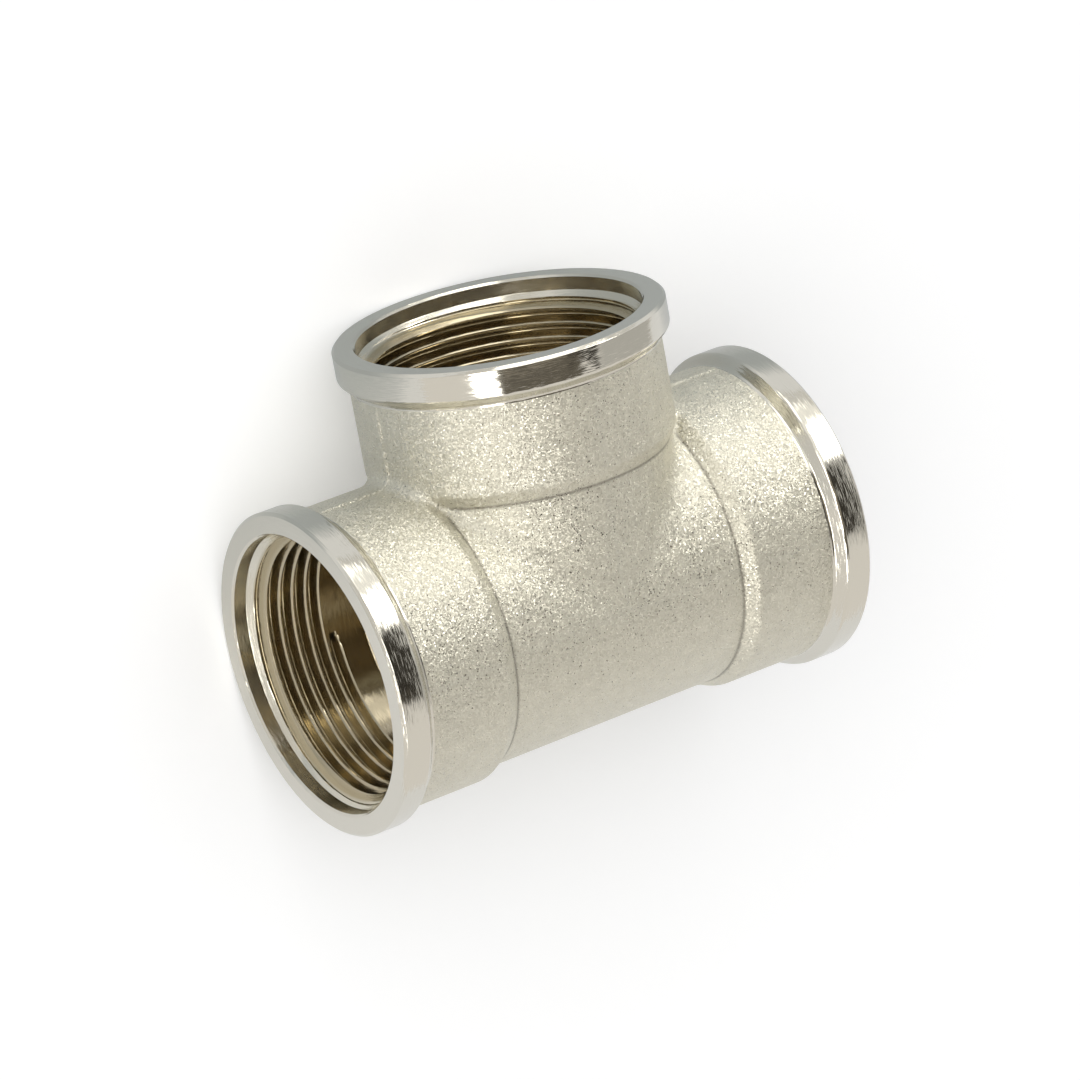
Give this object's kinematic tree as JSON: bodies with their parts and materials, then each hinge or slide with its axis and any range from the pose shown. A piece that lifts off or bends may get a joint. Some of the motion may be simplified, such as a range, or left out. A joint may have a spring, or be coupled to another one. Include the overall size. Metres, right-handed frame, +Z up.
{
  "type": "equal threaded tee",
  "caption": "Equal pipe tee in plated forged brass, with an internal thread and a turned collar at each port.",
  "frame": {"origin": "on the surface the tee lies on, under the middle of its bounding box", "axes": "+X along the run, -Y out of the branch, +Z up, square to the plane of the port axes"},
  "size_m": [0.084, 0.067, 0.05],
  "materials": {
    "nickel_plated_brass": "nickel plated; blasted body, turned collars and bores"
  },
  "bodies": {
    "root": {"tee_body": "nickel_plated_brass"}
  },
  "joints": []
}
